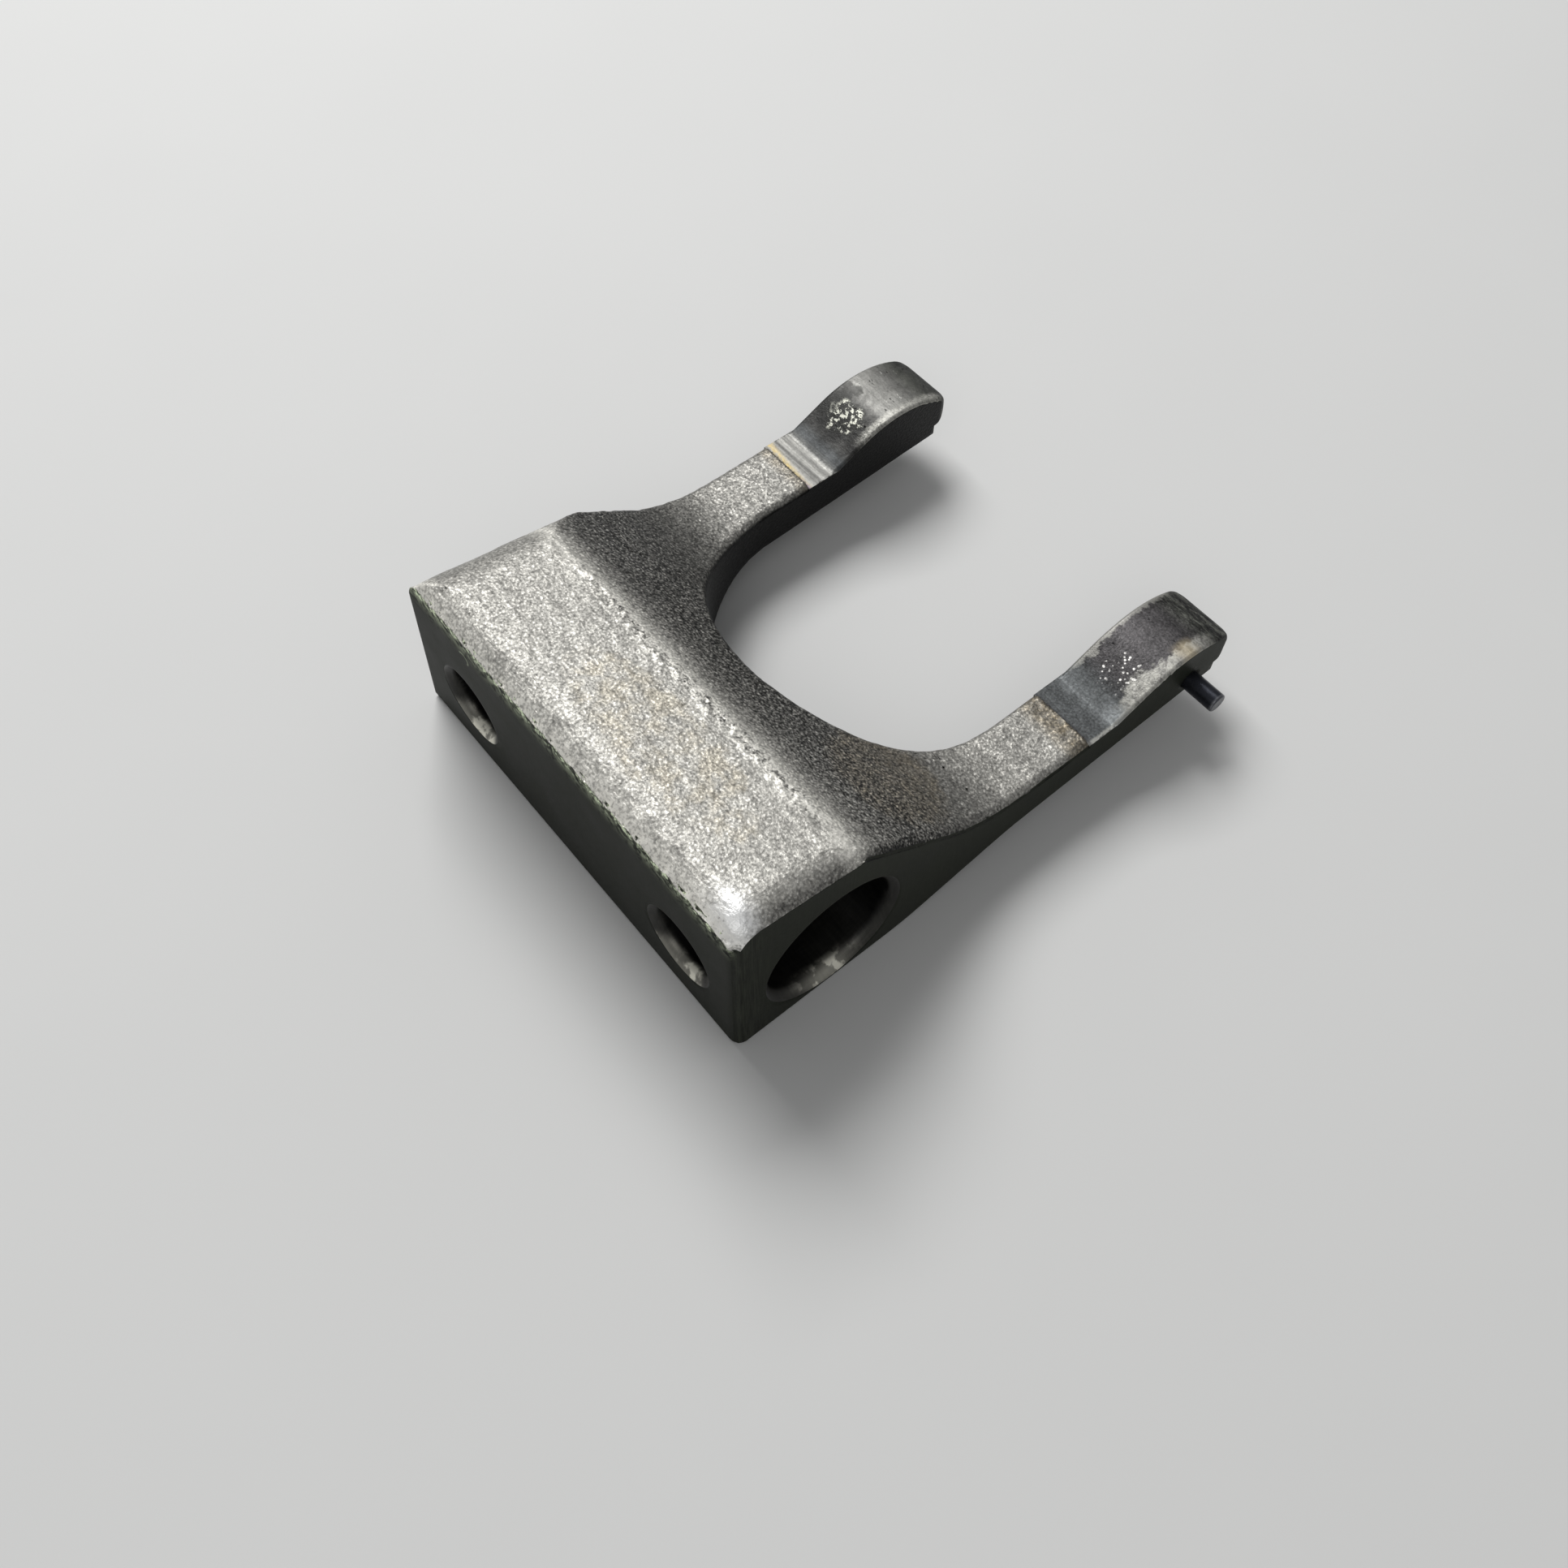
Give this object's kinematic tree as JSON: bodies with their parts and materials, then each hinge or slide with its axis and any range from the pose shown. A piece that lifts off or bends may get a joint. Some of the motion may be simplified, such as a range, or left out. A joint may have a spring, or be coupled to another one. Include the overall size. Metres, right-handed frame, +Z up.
{
  "type": "clutch shift fork",
  "caption": "Forged steel clutch fork: a block hub with a through shaft bore and tapped clamp holes, prongs with crowned wear pads round a U, and a dowel pin on one prong.",
  "frame": {"origin": "on the shaft bore's axis, midway between the hub's end faces", "axes": "+X along the shaft bore towards the prong that carries the dowel pin; +Y from the hub towards the prong tips; +Z up, away from the hub's flat floor, on the side of the wear pads"},
  "size_m": [0.0766, 0.09, 0.0319],
  "materials": {
    "forged_steel": "shot-blasted forging, ground and worn on the pads",
    "pin_steel": "blackened, smooth"
  },
  "bodies": {
    "root": {"fork_yoke": "forged_steel", "retainer_pin": "pin_steel"}
  },
  "joints": []
}
